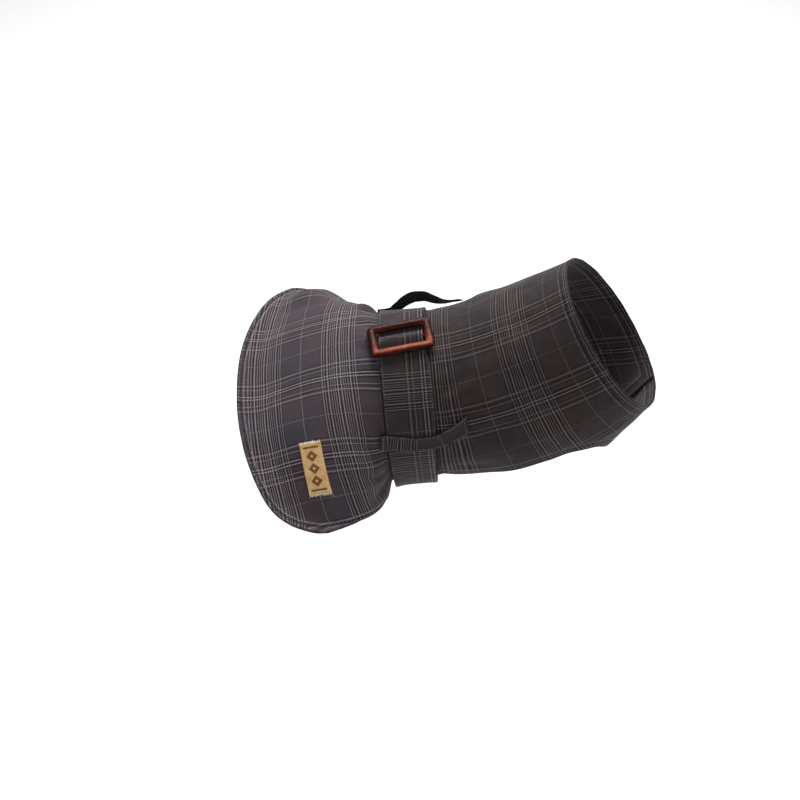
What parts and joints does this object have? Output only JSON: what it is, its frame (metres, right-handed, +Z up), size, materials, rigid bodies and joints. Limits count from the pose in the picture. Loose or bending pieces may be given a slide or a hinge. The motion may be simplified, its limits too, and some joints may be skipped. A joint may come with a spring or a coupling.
{
  "type": "dog dress",
  "caption": "Small dog's plaid dress as worn: back panel, wide belt with a slide buckle, and a short rounded skirt.",
  "frame": {"origin": "inner surface of the cloth at the waist seam, in the middle of the wearer's back, where the wearer holds it up", "axes": "+X towards the neck, +Y to the wearer's left, +Z up"},
  "size_m": [0.3018, 0.2252, 0.1747],
  "materials": {
    "cloth": "dark grey plaid twill",
    "belt_cloth": "dark grey plaid twill, grain turned",
    "buckle_plastic": "glossy mottled red-brown",
    "label_weave": "plain tan woven tab"
  },
  "bodies": {
    "root": {"skirt": "cloth", "bodice": "cloth", "belt": "belt_cloth", "buckle": "buckle_plastic", "belt_loop_right": "cloth", "belt_loop_left": "cloth", "label": "label_weave"}
  },
  "joints": []
}
